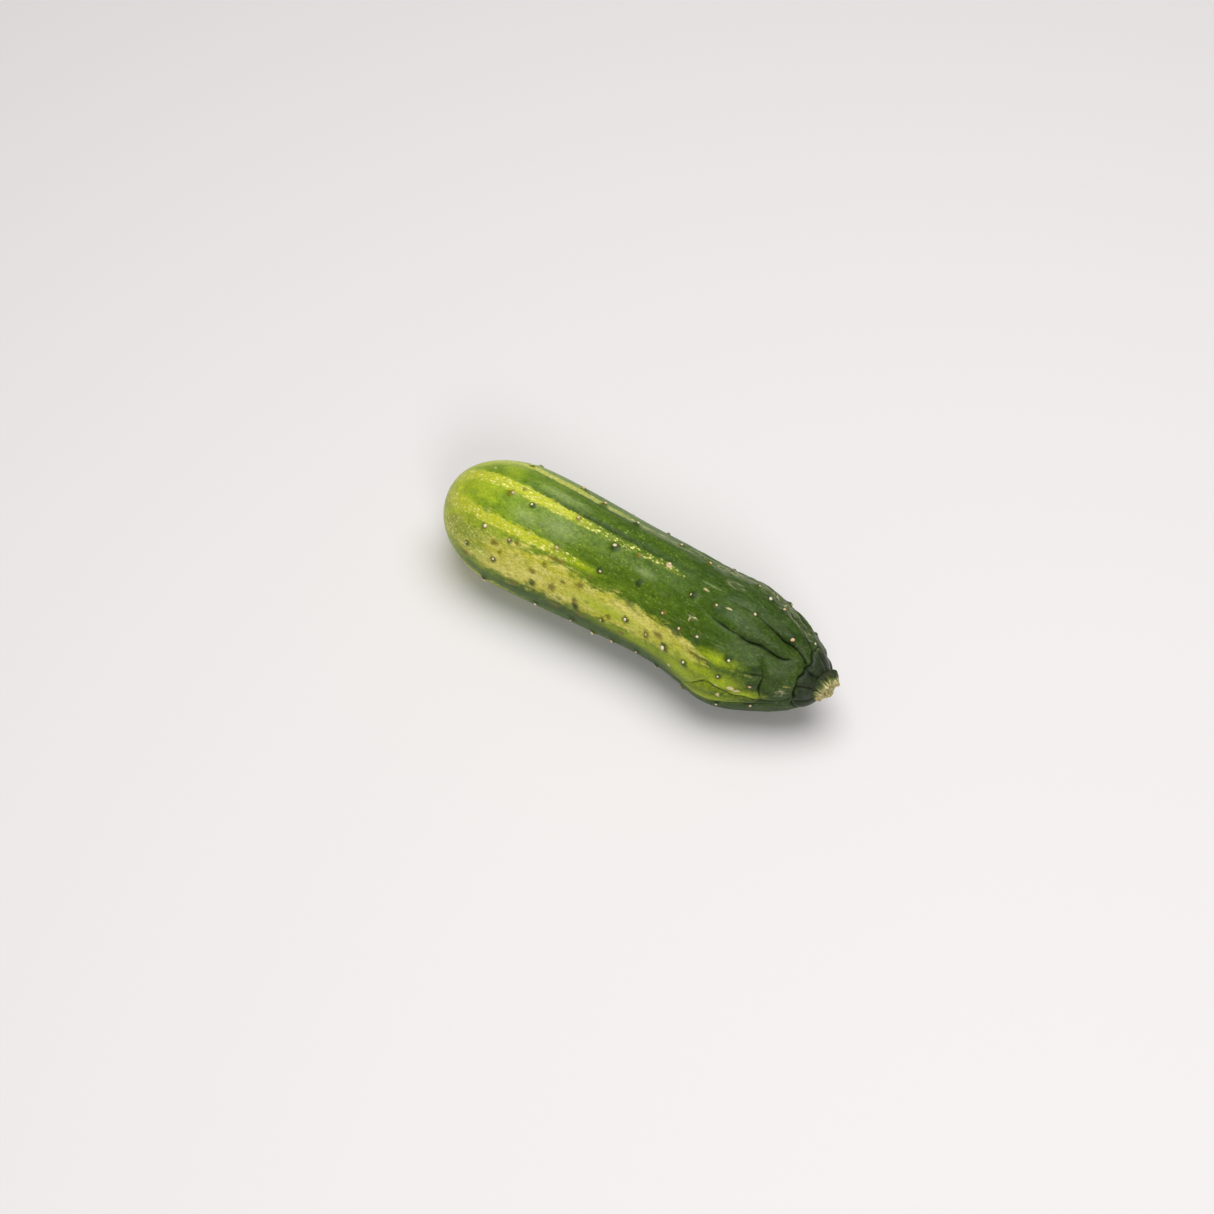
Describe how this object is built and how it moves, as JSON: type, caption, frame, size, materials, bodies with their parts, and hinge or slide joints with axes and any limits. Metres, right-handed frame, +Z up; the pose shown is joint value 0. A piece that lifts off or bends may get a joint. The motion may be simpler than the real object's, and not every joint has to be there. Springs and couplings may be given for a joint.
{
  "type": "cucumber",
  "caption": "Short field cucumber with warty ridged skin, a waisted bent body and the dry stump of its stalk, lying on its side.",
  "frame": {"origin": "on the surface that the cucumber lies on, under the middle of its bounding box", "axes": "+X along the fruit towards the stem end, +Z up, -Y towards the side that the stem end turns to"},
  "size_m": [0.1724, 0.0526, 0.0482],
  "materials": {
    "cucumber_skin": "semi-matte waxy skin, dark green with yellow-green stripes and a pale belly patch",
    "stalk_scar": "dry corky fibre, where the stalk broke off, at the flower scar and on the spine stubs"
  },
  "bodies": {
    "root": {"cucumber": "cucumber_skin"}
  },
  "joints": []
}
